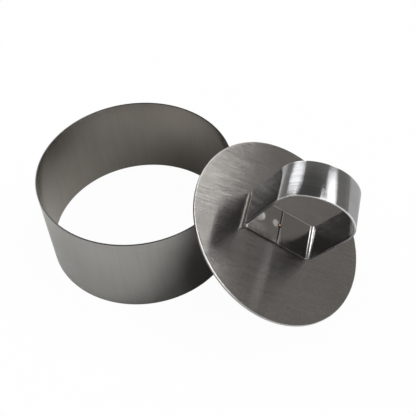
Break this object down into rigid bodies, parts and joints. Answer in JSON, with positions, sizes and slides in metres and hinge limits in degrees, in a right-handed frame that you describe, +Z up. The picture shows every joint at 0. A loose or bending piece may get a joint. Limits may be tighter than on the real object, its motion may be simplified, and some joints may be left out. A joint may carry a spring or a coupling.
{
  "type": "ring mold with pusher",
  "caption": "Round open sheet-steel food ring with a flat disc pusher that has a bent strap handle, put down leaning on the ring.",
  "frame": {"origin": "on the ring's axis, at the table that the ring stands on", "axes": "+Z up along the ring's axis, +X towards the side where the pusher leans on the rim"},
  "size_m": [0.1353, 0.0812, 0.0606],
  "materials": {
    "ring_steel": "satin, brushed round the ring",
    "disc_steel": "fine straight brushing",
    "strap_steel": "bright, brushed along the strap",
    "weld_steel": "matt, slightly heat tinted"
  },
  "bodies": {
    "ring": {"mold_ring": "ring_steel", "ring_seam_weld": "weld_steel"},
    "pusher": {"pusher_disc": "disc_steel", "handle_strap": "strap_steel", "foot_spot_weld": "weld_steel", "seam_tack_weld": "weld_steel"}
  },
  "joints": [
    {"name": "pusher_lift", "type": "slide", "parent": "ring", "child": "pusher", "axis": [0.5909, 0, 0.8067], "range_m": [0, 0.06]}
  ]
}
